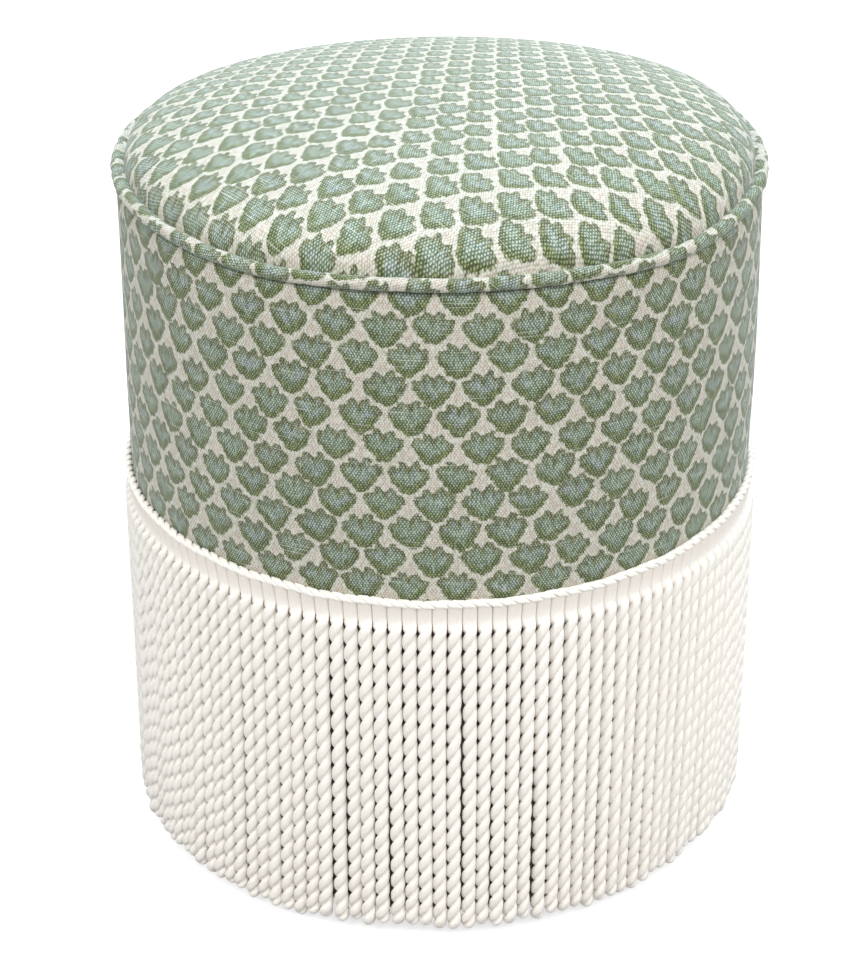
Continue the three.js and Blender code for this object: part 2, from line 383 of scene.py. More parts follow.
def cord_wave(bearing):
    """How far the fringe's edge rises towards the sides of the drum."""
    return 0.0004 + 0.0034 * np.sin(bearing) ** 2


# Patterns for materials

class Pattern:
    """A number, a colour or a place that changes over a piece, for use in plain sums."""

    def __init__(self, tree, socket):
        self.tree = tree
        self.socket = socket

    def __add__(self, other):
        return sum_up("ADD", self, other)

    def __sub__(self, other):
        return sum_up("SUBTRACT", self, other)

    def __mul__(self, other):
        return sum_up("MULTIPLY", self, other)

    def __truediv__(self, other):
        return sum_up("DIVIDE", self, other)


def new_finish(name):
    material = bpy.data.materials.new(name)
    material.use_nodes = True
    return material, material.node_tree


def add_node(tree, kind, **settings):
    node = tree.nodes.new(kind)
    adjust(node, **settings)
    return node


def read(tree, kind, output=0, **settings):
    """What a node without anything plugged in says about the spot that's being coloured."""
    return Pattern(tree, add_node(tree, kind, **settings).outputs[output])


def plug(source, socket):
    """Puts a pattern, a number or a colour into a socket."""
    if isinstance(source, Pattern):
        source.tree.links.new(source.socket, socket)
    else:
        socket.default_value = source


def plug_all(sockets, sources):
    for name, source in sources.items():
        plug(source, sockets[name])


def coat(material, base, roughness, relief=None, others=None):
    """Gives a material's surface its colour and how rough it is, and anything else it needs."""
    surface = material.node_tree.nodes["Principled BSDF"].inputs
    plug_all(surface, {"Base Color": base, "Roughness": roughness, **(others or {})})
    if relief:
        plug(relief, surface["Normal"])
    return material


def sum_up(operation, first, *others):
    kind = "ShaderNodeMath" if first.socket.type == "VALUE" else "ShaderNodeVectorMath"
    node = add_node(first.tree, kind, operation=operation)
    for value, socket in zip((first, *others), node.inputs):
        plug(value, socket)
    return Pattern(first.tree, node.outputs[0])


def split(place):
    node = add_node(place.tree, "ShaderNodeSeparateXYZ")
    plug(place, node.inputs[0])
    return [Pattern(place.tree, output) for output in node.outputs]


def stray(chance, width):
    """A shift to either side, from three values between 0 and 1."""
    return (chance - (0.5, 0.5, 0.5)) * (width, width, width)


def fade(value, low, high, to_low=0.0, to_high=1.0, kind="SMOOTHSTEP"):
    node = add_node(value.tree, "ShaderNodeMapRange", interpolation_type=kind)
    for source, socket in zip((value, low, high, to_low, to_high), node.inputs):
        plug(source, socket)
    return Pattern(value.tree, node.outputs[0])


def ramp(value, low, high, to_low, to_high):
    """A straight rise, where fade has soft ends."""
    return fade(value, low, high, to_low, to_high, "LINEAR")


def blend(share, first, second, kind="RGBA"):
    """The second colour laid over the first; the other kind mixes two numbers."""
    node = add_node(share.tree, "ShaderNodeMix", data_type=kind)
    start = 6 if kind == "RGBA" else 2
    for source, number in ((share, 0), (first, start), (second, start + 1)):
        plug(source, node.inputs[number])
    return Pattern(share.tree, node.outputs[2 if kind == "RGBA" else 0])


def cloudy(place, scale, detail=2.0, roughness=0.5, output=0):
    """Soft noise; the scale is one number, or one for each direction."""
    if isinstance(scale, tuple):
        place = place * scale
        scale = 1.0
    node = add_node(place.tree, "ShaderNodeTexNoise")
    plug_all(node.inputs, {"Vector": place, "Scale": scale, "Detail": detail, "Roughness": roughness})
    return Pattern(place.tree, node.outputs[output])


def bump(height, depth, strength, under=None):
    node = add_node(height.tree, "ShaderNodeBump")
    plug_all(node.inputs, {"Height": height, "Distance": depth, "Strength": strength})
    if under:
        plug(under, node.inputs["Normal"])
    return Pattern(height.tree, node.outputs[0])


def object_place(tree):
    return read(tree, "ShaderNodeTexCoord", "Object")


def colour(*parts):
    """A colour given as it looks on a screen: red, green and blue, from 11 up to 255."""
    return (*(((part / 255 + 0.055) / 1.055) ** 2.4 for part in parts), 1.0)


# The printed linen: bare flax, the two inks, and their painted highlight and shade where a thread stands up
# or sinks

FLAX_PINK = colour(194, 183, 171)
FLAX_PALE = colour(197, 199, 186)
FLAX_BROWN = colour(180, 165, 151)
FLAX_HIGHLIGHT = colour(204, 203, 194)
FLAX_SHADE = colour(148, 141, 124)
FLAX_SLUB = colour(198, 203, 188)
OLIVE_DEEP = colour(78, 88, 42)
OLIVE_SOFT = colour(94, 103, 58)
OLIVE_COOL = colour(80, 97, 68)
OLIVE_BROWN = colour(104, 102, 80)
OLIVE_LIGHT = colour(148, 154, 112)
OLIVE_SHADE = colour(46, 56, 28)
SEA_GREEN = colour(116, 131, 108)
SEA_BLUE = colour(132, 143, 142)
SEA_LILAC = colour(138, 143, 157)
SEA_LIGHT = colour(184, 196, 184)
SEA_SHADE = colour(74, 90, 68)
# Painted shade: dark brown laid on the linen behind the fringe, seen through the gaps between the strands
FRINGE_GAP_SHADE_BROWN = colour(98, 88, 82)


def petal_group():
    """One staggered half of the print: how deep a thread lies inside the nearest petal."""
    group = bpy.data.node_groups.new("petal", "ShaderNodeTree")
    for name in ("Threads", "Start"):
        group.interface.new_socket(name, in_out="INPUT", socket_type="NodeSocketVector")
    for name in ("Inside", "Chance", "Across", "Height"):
        group.interface.new_socket(name, in_out="OUTPUT", socket_type="NodeSocketFloat")
    given = add_node(group, "NodeGroupInput")
    start = Pattern(group, given.outputs["Start"])
    given = Pattern(group, given.outputs["Threads"])

    # Each petal has its own number, and from it its own place, lean and size
    repeat = (PETAL_PITCH, PETAL_ROW * 2, 1.0)
    threads = given - start
    number = sum_up("FLOOR", threads / repeat + (0.5, 0.5, 0.0))
    dealt = add_node(group, "ShaderNodeTexWhiteNoise", noise_dimensions="2D")
    plug(number + start, dealt.inputs["Vector"])
    chance = Pattern(group, dealt.outputs["Value"])
    moved = stray(Pattern(group, dealt.outputs["Color"]), 2.2)
    across, height, _ = split(threads - number * repeat - moved)
    turn = sum_up("ARCTAN2", across, height) + ramp(chance, 0.0, 1.0, -0.16, 0.16)
    reach = sum_up("SQRT", across * across + height * height)

    outline = add_node(group, "ShaderNodeFloatCurve")
    curve = outline.mapping.curves[0]
    for degrees, distance in PETAL_OUTLINE[1:-1]:
        curve.points.new(degrees / 180, distance / PETAL_REACH)
    curve.points[0].location = (0.0, PETAL_OUTLINE[0][1] / PETAL_REACH)
    curve.points[-1].location = (1.0, PETAL_OUTLINE[-1][1] / PETAL_REACH)
    outline.mapping.update()
    plug(sum_up("ABSOLUTE", turn) / math.pi, outline.inputs["Value"])
    size = ramp(chance, 0.0, 1.0, PETAL_REACH - 0.8, PETAL_REACH + 0.8)
    ragged = ramp(cloudy(given, 0.30, 2.0, 0.6), 0.2, 0.8, -1.6, 1.6)
    plug_all(add_node(group, "NodeGroupOutput").inputs, {
        "Inside": size * Pattern(group, outline.outputs[0]) + ragged - reach,
        "Chance": chance,
        "Across": sum_up("ABSOLUTE", across),
        "Height": height,
    })
    return group


def nearest_petal(threads):
    """Of the print's two staggered halves, what the one that reaches deeper says."""
    petal = petal_group()
    halves = []
    for start in ((0.0, PETAL_RISE, 0.0), (PETAL_PITCH / 2, PETAL_ROW + PETAL_RISE, 0.0)):
        half = add_node(threads.tree, "ShaderNodeGroup", node_tree=petal)
        plug_all(half.inputs, {"Threads": threads, "Start": start})
        halves.append([Pattern(threads.tree, output) for output in half.outputs])
    first, second = halves
    nearer = sum_up("GREATER_THAN", first[0], second[0])
    inside = sum_up("MAXIMUM", first[0], second[0])
    return inside, *(blend(nearer, second[value], first[value], "FLOAT") for value in (1, 2, 3))


def linen_weave(flat):
    """Threads a little uneven in their run and thickness: where each runs, and how high it stands."""
    run = flat + stray(cloudy(flat, 0.06, output=1), 3.4)
    run = run + stray(cloudy(flat, 0.42, 1.0, output=1), 0.9)
    across, along, _ = split(run)
    rise = sum_up("SINE", across * (math.pi / WARP_PITCH)) * sum_up("SINE", along * (math.pi / WEFT_PITCH))
    for place, pitch, share in ((across, WARP_PITCH, -0.15), (along, WEFT_PITCH, -0.35)):
        rise = rise + sum_up("COSINE", place * (2 * math.pi / pitch)) * share
    thin = cloudy(run, (0.9, 0.25, 1.0), 1.0)
    return run, rise + ramp(thin, 0.25, 0.75, -0.75, 0.75)


def printed_linen():
    material, tree = new_finish("printed linen")
    flat = read(tree, "ShaderNodeUVMap", uv_map="cloth") * (1000.0, 1000.0, 1000.0)
    run, rise = linen_weave(flat)
    raised = fade(rise, 0.15, 0.8)
    sunk = fade(rise, 0.0, -0.5)

    # Each thread crossing takes the ink whole, so the print's edges run in small steps
    threads = sum_up("SNAP", run, (WARP_PITCH, WEFT_PITCH / 2, 1.0))
    inside, chance, across, height = nearest_petal(threads)
    other_chance = sum_up("FRACT", chance * 7.3)

    # How wide the olive edge is; a darker stroke runs down from the notch between the upper lobes
    vein = fade(across, 2.8, 0.2) * fade(height, -3.0, 3.5)
    foot = fade(height, 2.5, -6.0)
    blot = cloudy(flat, 0.16, 3.0, 0.6)
    speck = cloudy(flat, 0.55, 2.0, 0.6)
    fleck = cloudy(flat, 1.1, 1.0)
    edge = ramp(blot, 0.3, 0.7, 1.4, 4.0) + vein * 4.5 + foot * 2.4 + other_chance * 1.5
    edge = edge + ramp(speck, 0.3, 0.7, -1.4, 1.4) + ramp(fleck, 0.3, 0.7, -1.3, 1.3)
    heart = fade(inside - edge, -2.0, 2.1)

    # Undyed flax, paler beside the ink and slightly pink away from it
    flax = blend(fade(inside, -3.4, -1.0), FLAX_PINK, FLAX_PALE)
    flax = blend(fade(speck, 0.45, 0.66, 0.0, 0.6), flax, FLAX_BROWN)
    # Painted highlight on the raised threads and painted shade on the sunk ones
    flax = blend(raised * 0.7, flax, FLAX_HIGHLIGHT)
    flax = blend(sunk * 0.7, flax, FLAX_SHADE)

    # The two inks: olive round the edge of a petal, blue-green in its middle
    olive = blend(fade(blot, 0.35, 0.62), OLIVE_DEEP, OLIVE_SOFT)
    olive = blend(chance * 0.4, olive, OLIVE_COOL)
    olive = blend(fade(foot, 0.7, 0.0, 0.0, 0.75), olive, OLIVE_BROWN)
    tint = cloudy(flat, 0.11, 3.0, 0.6) + other_chance * 0.16
    sea = blend(fade(tint, 0.46, 0.70), SEA_GREEN, SEA_BLUE)
    sea = blend(fade(tint, 0.64, 0.76, 0.0, 0.8), sea, SEA_LILAC)
    sea = blend(fade(speck, 0.54, 0.36, 0.0, 0.7), sea, OLIVE_SOFT)
    ink = blend(heart, olive, sea)
    # Raised threads are paler, partly bare thread tops that the ink misses and partly painted highlight;
    # sunk threads get painted shade
    ink = blend(raised * 0.8, ink, blend(heart, OLIVE_LIGHT, SEA_LIGHT))
    ink = blend(sunk * 0.8, ink, blend(heart, OLIVE_SHADE, SEA_SHADE))
    dyed = blend(fade(inside, -0.2, 0.7), flax, ink)

    # Thick places in the thread, which the ink doesn't reach
    lying = fade(cloudy(flat, (0.03, 1.35, 1.0), 1.0, 0.4), 0.665, 0.74)
    upright = fade(cloudy(flat, (1.5, 0.035, 1.0), 1.0, 0.4), 0.73, 0.80)
    slub = sum_up("MAXIMUM", lying, upright)
    dyed = blend(slub * 0.6, dyed, FLAX_SLUB)

    # Behind the fringe the panel carries on, painted plain dark brown: painted shade for the gaps between
    # the strands
    up = split(object_place(tree))[2]
    painted_gap_shade = fade(up, HEADER_BOTTOM, HEADER_BOTTOM - 0.002)
    cloth = blend(painted_gap_shade, dyed, FRINGE_GAP_SHADE_BROWN)
    relief = bump(rise * 0.5 + slub * 0.8, 0.00016, 0.8)
    return coat(material, cloth, 0.82, relief, {
        "Specular IOR Level": 0.42,
        "Sheen Weight": 0.28,
        "Sheen Roughness": 0.5,
        "Sheen Tint": (0.95, 0.99, 0.97, 1.0),
    })


# The fringe's yarn and tape

def ivory_yarn(name, painted_neck_shade=False):
    """Smooth cotton cord; its fine fibres follow the twist through the "yarn" attribute. When asked, the
    strands' necks get painted shade under the edge cord.
    """
    material, tree = new_finish(name)
    yarn = read(tree, "ShaderNodeAttribute", "Vector", attribute_name="yarn")
    fibres = cloudy(yarn, (2600.0, 2600.0, 150.0), 3.0, 0.6)
    bundles = cloudy(yarn, (900.0, 900.0, 60.0))
    cream = blend(fade(fibres, 0.3, 0.7), colour(246, 242, 235), colour(238, 233, 225))
    cream = blend(fade(bundles, 0.45, 0.7, 0.0, 0.5), cream, colour(242, 235, 225))
    if painted_neck_shade:
        # Painted shade: the necks are painted darker and warmer up towards the edge cord, for the cord's
        # shadow
        cord_shadow_share = fade(split(yarn)[2], 0.002 - NECK_BOTTOM, -HEADER_TOP, 0.0, 0.7)
        cream = blend(cord_shadow_share, cream, colour(222, 212, 202))
    relief = bump(fibres, 0.00005, 0.6, bump(bundles, 0.00012, 0.5))
    return coat(material, cream, 0.58, relief, {
        "Specular IOR Level": 0.4, "Sheen Weight": 0.25, "Sheen Roughness": 0.4,
    })


def woven_tape():
    material, tree = new_finish("woven header tape")
    ribs = cloudy(object_place(tree), (500.0, 500.0, 6000.0))
    cream = blend(ribs, colour(232, 224, 210), colour(214, 204, 188))
    return coat(material, cream, 0.85, bump(ribs, 0.0002, 0.6))


# The finishes inside and underneath

def birch_plywood():
    material, tree = new_finish("birch plywood")
    place = object_place(tree)
    grain = cloudy(place, (18.0, 180.0, 18.0), 5.0, 0.6)
    face = blend(fade(grain, 0.35, 0.65), colour(222, 196, 158), colour(196, 164, 122))
    plies = sum_up("SINE", split(place)[2] * (2 * math.pi / 0.003))
    face = blend(fade(plies, 0.4, 0.9, 0.0, 0.25), face, colour(150, 112, 76))
    return coat(material, face, fade(grain, 0.3, 0.7, 0.62, 0.8), bump(grain, 0.0004, 0.5))


def pine_batten():
    material, tree = new_finish("pine batten")
    rings = cloudy(object_place(tree), (96.0, 96.0, 4.8), 4.0)
    wood = blend(fade(rings, 0.35, 0.65), colour(228, 201, 156), colour(198, 158, 108))
    return coat(material, wood, 0.72, bump(rings, 0.0003, 0.5))


def seat_foam():
    material, tree = new_finish("seat foam")
    cells = add_node(tree, "ShaderNodeTexVoronoi")
    plug_all(cells.inputs, {"Vector": object_place(tree), "Scale": 900.0})
    pores = Pattern(tree, cells.outputs[0])
    foam = blend(fade(pores, 0.1, 0.6), colour(214, 202, 160), colour(236, 227, 192))
    return coat(material, foam, 0.95, bump(pores, 0.0005, 0.7))


def polyester_wadding():
    material, tree = new_finish("polyester wadding")
    tufts = cloudy(object_place(tree), 220.0, 6.0, 0.75)
    white = blend(fade(tufts, 0.3, 0.7), colour(226, 226, 222), colour(247, 247, 244))
    return coat(material, white, 1.0, bump(tufts, 0.0012, 0.8), {"Sheen Weight": 0.4})


def filler_cord():
    material, tree = new_finish("filler cord")
    lint = cloudy(object_place(tree), 700.0, 4.0, 0.6)
    cotton = blend(lint, colour(228, 223, 211), colour(243, 240, 232))
    return coat(material, cotton, 0.9, bump(lint, 0.0003, 0.7))


def dust_cloth():
    """Black spun-bonded cloth with its small pressed dots."""
    material, tree = new_finish("black dust cloth")
    place = object_place(tree)
    across, back, _ = split(place)
    rows = sum_up("SINE", across * (math.pi / 0.0011))
    columns = sum_up("SINE", back * (math.pi / 0.0011))
    dots = fade(rows * columns, 0.2, 0.7)
    lint = cloudy(place, 900.0, 4.0, 0.7)
    black = blend(fade(lint, 0.35, 0.7), colour(30, 30, 31), colour(52, 52, 54))
    black = blend(dots * 0.6, black, colour(22, 22, 23))
    return coat(material, black, 0.8, bump(dots, -0.0001, 0.7), {"Sheen Weight": 0.2})


def glide_plastic():
    material, tree = new_finish("moulded glide plastic")
    place = object_place(tree)
    scuffs = cloudy(place, (400.0, 90.0, 400.0), 3.0, 0.6)
    brown = blend(fade(scuffs, 0.55, 0.7, 0.0, 0.5), colour(44, 38, 35), colour(74, 66, 60))
    grain = bump(cloudy(place, 1500.0, 3.0), 0.00004, 0.6)
    return coat(material, brown, fade(scuffs, 0.4, 0.7, 0.38, 0.6), grain)


def zinc_plate():
    material, tree = new_finish("zinc plate")
    bloom = cloudy(object_place(tree), 600.0, 3.0, 0.6)
    zinc = blend(bloom, colour(196, 198, 202), colour(218, 214, 200))
    return coat(material, zinc, fade(bloom, 0.3, 0.7, 0.28, 0.45), None, {"Metallic": 1.0})


# Camera, floor and lamps

def set_up_camera():
    bpy.ops.object.camera_add(
        location=(0.0003, -1.5579, 1.0357), rotation=(math.radians(64.0), 0.0, 0.0)
    )
    camera = bpy.context.object
    camera.name = "camera"
    adjust(camera.data, lens=100.5, shift_x=-0.01375, shift_y=-0.0884)
    bpy.context.scene.camera = camera


def pale_floor():
    material, tree = new_finish("pale floor")
    return coat(material, (0.45, 0.45, 0.45, 1.0), 0.9, None, {
        "Specular IOR Level": 0.1,
        "Emission Color": (1.0, 1.0, 1.0, 1.0),
        "Emission Strength": read(tree, "ShaderNodeLightPath", "Is Camera Ray") * 0.70,
    })


def set_up_world():
    """White as seen and mirrored, and less bright as a light."""
    world = bpy.data.worlds.new("studio")
    bpy.context.scene.world = world
    world.use_nodes = True
    tree = world.node_tree
    seen = read(tree, "ShaderNodeLightPath", "Is Camera Ray")
    for ray in ("Is Glossy Ray", "Is Transmission Ray"):
        seen = sum_up("MAXIMUM", seen, read(tree, "ShaderNodeLightPath", ray))
    plug_all(tree.nodes["Background"].inputs, {
        "Color": (1.0, 1.0, 1.0, 1.0),
        "Strength": ramp(seen, 0.0, 1.0, 0.68, 1.0),
    })


def add_lamp(name, place, aim_height, size, power, tint=(1.0, 1.0, 1.0)):
    """A round softbox aimed at the drum's middle line."""
    bpy.ops.object.light_add(type="AREA", location=place)
    lamp = bpy.context.object
    lamp.name = name
    adjust(lamp.data, shape="DISK", size=size, energy=power, color=tint)
    away = lamp.location - mathutils.Vector((0.0, 0.0, aim_height))
    lamp.rotation_mode = "QUATERNION"
    lamp.rotation_quaternion = away.to_track_quat("Z", "Y")


def set_up_stage():
    clear_selection()
    bpy.ops.mesh.primitive_grid_add(x_subdivisions=8, y_subdivisions=8, size=40.0, location=(0.0, 0.0, 0.0))
    floor = rename("studio_floor")
    floor.data.materials.append(pale_floor())
    set_up_world()
    add_lamp("overhead_softbox", (0.1, 0.6, 2.25), 0.3, 1.6, 31.5, (0.69, 0.86, 1.0))
    add_lamp("back_softbox", (0.1, 2.1, 1.6), 0.4, 1.6, 22.0, (0.70, 0.87, 1.0))
    add_lamp("left_softbox", (-1.7, -1.2, 1.9), 0.2, 1.2, 23.5)
    add_lamp("right_softbox", (1.7, -1.1, 1.7), 0.25, 1.2, 18.5)
    add_lamp("front_softbox", (0.3, -2.0, 2.1), 0.2, 1.2, 21.0)
    bpy.context.scene.view_settings.view_transform = "Standard"


# The padded seat

def crown(radius):
    """Height of the seat's even dome above its rim."""
    share = np.clip(radius / SEAT_EDGE_RADIUS, 0.0, 1.0)
    return SEAT_CROWN * (1 - share ** 2.05) ** 0.385


def dome_height(across, back):
    """The seat's height above its rim; fuller towards the right, as stuffed by hand."""
    radius = np.hypot(across, back)
    share = np.clip(radius / SEAT_EDGE_RADIUS, 0.0, 1.0)
    right = across / DRUM_RADIUS
    stuffing = 0.00485 * right - 0.0017 * back / DRUM_RADIUS + 0.0098 * right ** 2
    return crown(radius) + stuffing * (1 - share ** 4) ** 0.7


def model_seat_wadding():
    """Wadding between the foam's crown and the linen, ending inside the piping's seam."""
    line = []
    for step in range(17):
        radius = FOAM_RADIUS * math.sin(math.pi / 2 * step / 16)
        line.append((radius, FOAM_RIM_HEIGHT + FOAM_CROWN * (1 - (radius / FOAM_RADIUS) ** 4) ** 0.6))
    line += [
        (0.1920, FOAM_RIM_HEIGHT), (0.1925, 0.4362), (0.1918, 0.4376), (0.1846, 0.4384), (0.1842, 0.4400),
    ]
    for step in range(1, 20):
        radius = PAD_TOP_RADIUS * math.cos(math.pi / 2 * step / 20)
        line.append((radius, SEAT_RIM_HEIGHT + float(crown(radius))))
    line.append((0.0, SEAT_RIM_HEIGHT + float(crown(0.0))))
    pad = draw_profile("seat_wadding_pad", line)
    spin_round(pad, 96)

    # The crowned top takes the seat's own shape, and the lip at its edge goes along with the rim
    points = points_of(pad)
    across, back, height = points.T
    radius = radii(points)
    crowned = (np.abs(height - SEAT_RIM_HEIGHT - crown(radius)) < 0.00002) & (radius < 0.1842)
    lip = (radius > 0.183) & (height > 0.4370) & ~crowned
    edge_pull = rim_wave(bearings(points)) * (radius / SEAT_EDGE_RADIUS) ** 6
    domed = SEAT_RIM_HEIGHT + dome_height(across, back) - 0.00125 + edge_pull
    points[:, 2] = np.where(crowned, domed, np.where(lip, np.maximum(height + edge_pull, 0.4354), height))
    set_points(pad, points)
    face_outwards(pad)
    hand_over(pad, "seat_wadding", "polyester_wadding")
    return pad


def place_seat_print(across, back):
    """Where a spot of the seat lies on the print, with the cloth's measure running along the dome."""
    radius = np.hypot(across, back)
    steps = np.linspace(0.0, SEAT_EDGE_RADIUS * 0.9999, 400)
    rises = np.diff(crown(steps))
    lengths = np.concatenate([[0.0], np.cumsum(np.hypot(np.diff(steps), rises))])
    reach = np.interp(radius, steps, lengths) / np.maximum(radius, 1e-6)
    across = across * reach
    back = back * reach
    print_across = across * (SEAT_PRINT_ACROSS + SEAT_PRINT_ACROSS_MORE * back)
    print_back = back * (SEAT_PRINT_BACK + SEAT_PRINT_BACK_MORE * back) + SEAT_PRINT_BOW * across ** 2
    turned_across, turned_back = turned(print_across, print_back, SEAT_PRINT_TURN)
    return turned_across + SEAT_PRINT_START[0], turned_back + SEAT_PRINT_START[1]


def model_seat_cover():
    """The domed linen top, pulled tight over the wadding and sewn in along the piping."""
    clear_selection()
    bpy.ops.mesh.primitive_grid_add(x_subdivisions=76, y_subdivisions=76, size=2.0)
    cover = rename("seat_cover_linen")

    # The square grid is rounded off, with finer rows towards the rim
    square = points_of(cover)
    across = square[:, 0] * np.sqrt(1 - square[:, 1] ** 2 / 2)
    back = square[:, 1] * np.sqrt(1 - square[:, 0] ** 2 / 2)
    share = np.hypot(across, back)
    spread = np.sin(np.clip(share, 0, 1) * math.pi / 2 * 0.86) / math.sin(math.pi / 2 * 0.86)
    widen = np.where(share > 1e-6, spread / np.maximum(share, 1e-6), 1.0) * SEAT_EDGE_RADIUS
    across = across * widen
    back = back * widen
    shape = np.column_stack([across, back, SEAT_RIM_HEIGHT + dome_height(across, back)])
    set_points(cover, shape)
    corner = corner_points(cover)
    print_across, print_back = place_seat_print(across, back)
    set_cloth(cover, print_across[corner], print_back[corner])
    stretch_over_padding(cover, shape)

    apply_modifier(cover, "SUBSURF", levels=1, render_levels=1)
    points = points_of(cover)
    points[:, 2] += rim_wave(bearings(points)) * np.clip(radii(points) / SEAT_EDGE_RADIUS, 0, 1) ** 6
    set_points(cover, points)

    # The cut edge goes down into the piping's seam
    edit_all(cover)
    bpy.ops.mesh.select_all(action="DESELECT")
    bpy.ops.mesh.select_non_manifold(
        extend=False, use_wire=False, use_boundary=True, use_multi_face=False,
        use_non_contiguous=False, use_verts=False,
    )
    for drop, narrower in ((-0.0008, 0.992), (0.0001, 0.98)):
        extrude(0.0, 0.0, drop)
        bpy.ops.transform.resize(value=(narrower, narrower, 1.0), center_override=(0.0, 0.0, 0.0))
    stop_editing()
    apply_modifier(cover, "SOLIDIFY", thickness=LINEN_THICKNESS, offset=-1.0)
    return hand_over(cover, "seat_cover", "printed_linen", 60)


def stretch_over_padding(cover, shape):
    """A short cloth simulation: the linen is held at its rim and pressed out by the padding."""
    facing = np.empty(len(shape) * 3)
    cover.data.vertices.foreach_get("normal", facing)
    facing = facing.reshape(-1, 3)
    held = cover.vertex_groups.new(name="sewn rim")
    at_rim = np.nonzero(radii(shape) > SEAT_EDGE_RADIUS * 0.985)[0]
    held.add([int(number) for number in at_rim], 1.0, "REPLACE")
    pick_up(cover)
    modifier = cover.modifiers.new("cloth", "CLOTH")
    adjust(
        modifier.settings, vertex_group_mass=held.name, quality=6, mass=0.2,
        tension_stiffness=25.0, compression_stiffness=25.0, shear_stiffness=8.0,
        bending_stiffness=0.4, use_pressure=True, uniform_pressure_force=3.0,
    )
    modifier.settings.effector_weights.gravity = 0.0
    modifier.collision_settings.use_collision = False
    scene = bpy.context.scene
    for step in range(1, 15):
        scene.frame_set(step)
    bpy.ops.object.modifier_apply(modifier=modifier.name)
    scene.frame_set(1)
    moved = points_of(cover) - shape
    distance = np.linalg.norm(moved, axis=1, keepdims=True)
    moved = moved * np.minimum(1.0, LINEN_GIVE / np.maximum(distance, 1e-9))

    # The padding behind keeps the linen from sinking inwards anywhere
    outwards = np.sum(moved * facing, axis=1, keepdims=True)
    set_points(cover, shape + moved - facing * np.minimum(outwards, 0.0))


def place_bias_strip(bearing, radius, height):
    """The strip is cut across the print at 45 degrees."""
    girth = np.arctan2(height - PIPING_HEIGHT, radius - PIPING_RING_RADIUS) * PIPING_HALF
    across, along = turned(bearing * DRUM_RADIUS, girth, math.radians(45))
    return across + PIPING_PRINT_START[0], along + PIPING_PRINT_START[1]


def model_piping():
    """Bias-cut piping round the rim, with its sewn edges lying inwards."""
    piping = bend_round("rim_piping", 18, PIPING_HALF, PIPING_RING_RADIUS, PIPING_HEIGHT, 480)
    lay_cloth(piping, place_bias_strip)
    points = points_of(piping)
    bearing = bearings(points)
    radius = radii(points)
    inward = part_way(radius, PIPING_RING_RADIUS - 0.0021, PIPING_RING_RADIUS - 0.0036)
    height = PIPING_HEIGHT + (points[:, 2] - PIPING_HEIGHT) * (1 - 0.55 * inward)
    ripple = 0.00035 * np.sin(bearing * 41) * np.sin(bearing * 17 + 1) + 0.00025 * np.sin(bearing * 90 + 2)
    lap = wave(np.abs(bearing), 172, 1.2, 0.0006)
    radius = radius - 0.0035 * inward + np.where(inward > 0, 0.0, ripple + lap)
    set_points(piping, round_drum(bearing, radius, height + rim_wave(bearing)))
    face_outwards(piping)
    return hand_over(piping, "piping_cover", "printed_linen")


def model_piping_cord():
    """The filler cord, which follows the piping's rise and fall."""
    cord = bend_round("piping_filler_cord", 10, FILLER_CORD_HALF, PIPING_RING_RADIUS, PIPING_HEIGHT, 256)
    points = points_of(cord)
    points[:, 2] += rim_wave(bearings(points))
    set_points(cord, points)
    face_outwards(cord)
    return hand_over(cord, "piping_cord", "filler_cord")


# The linen side

def place_side_cloth(bearing, radius, height):
    """Upright print; the cloth runs on under the base."""
    along = np.where(height < 0.0160, height - (LOWER_COVER_RADIUS - radius), height)
    return (bearing + SIDE_PRINT_BEARING) * DRUM_RADIUS, along - SIDE_PRINT_HEIGHT


def turn_outwards(piece):
    """Flips an open ring whose faces look at the axis."""
    facing = 0.0
    for face in piece.data.polygons:
        facing += (face.normal.x * face.center.x + face.normal.y * face.center.y) * face.area
    if facing < 0:
        edit_all(piece)
        bpy.ops.mesh.flip_normals()
        stop_editing()


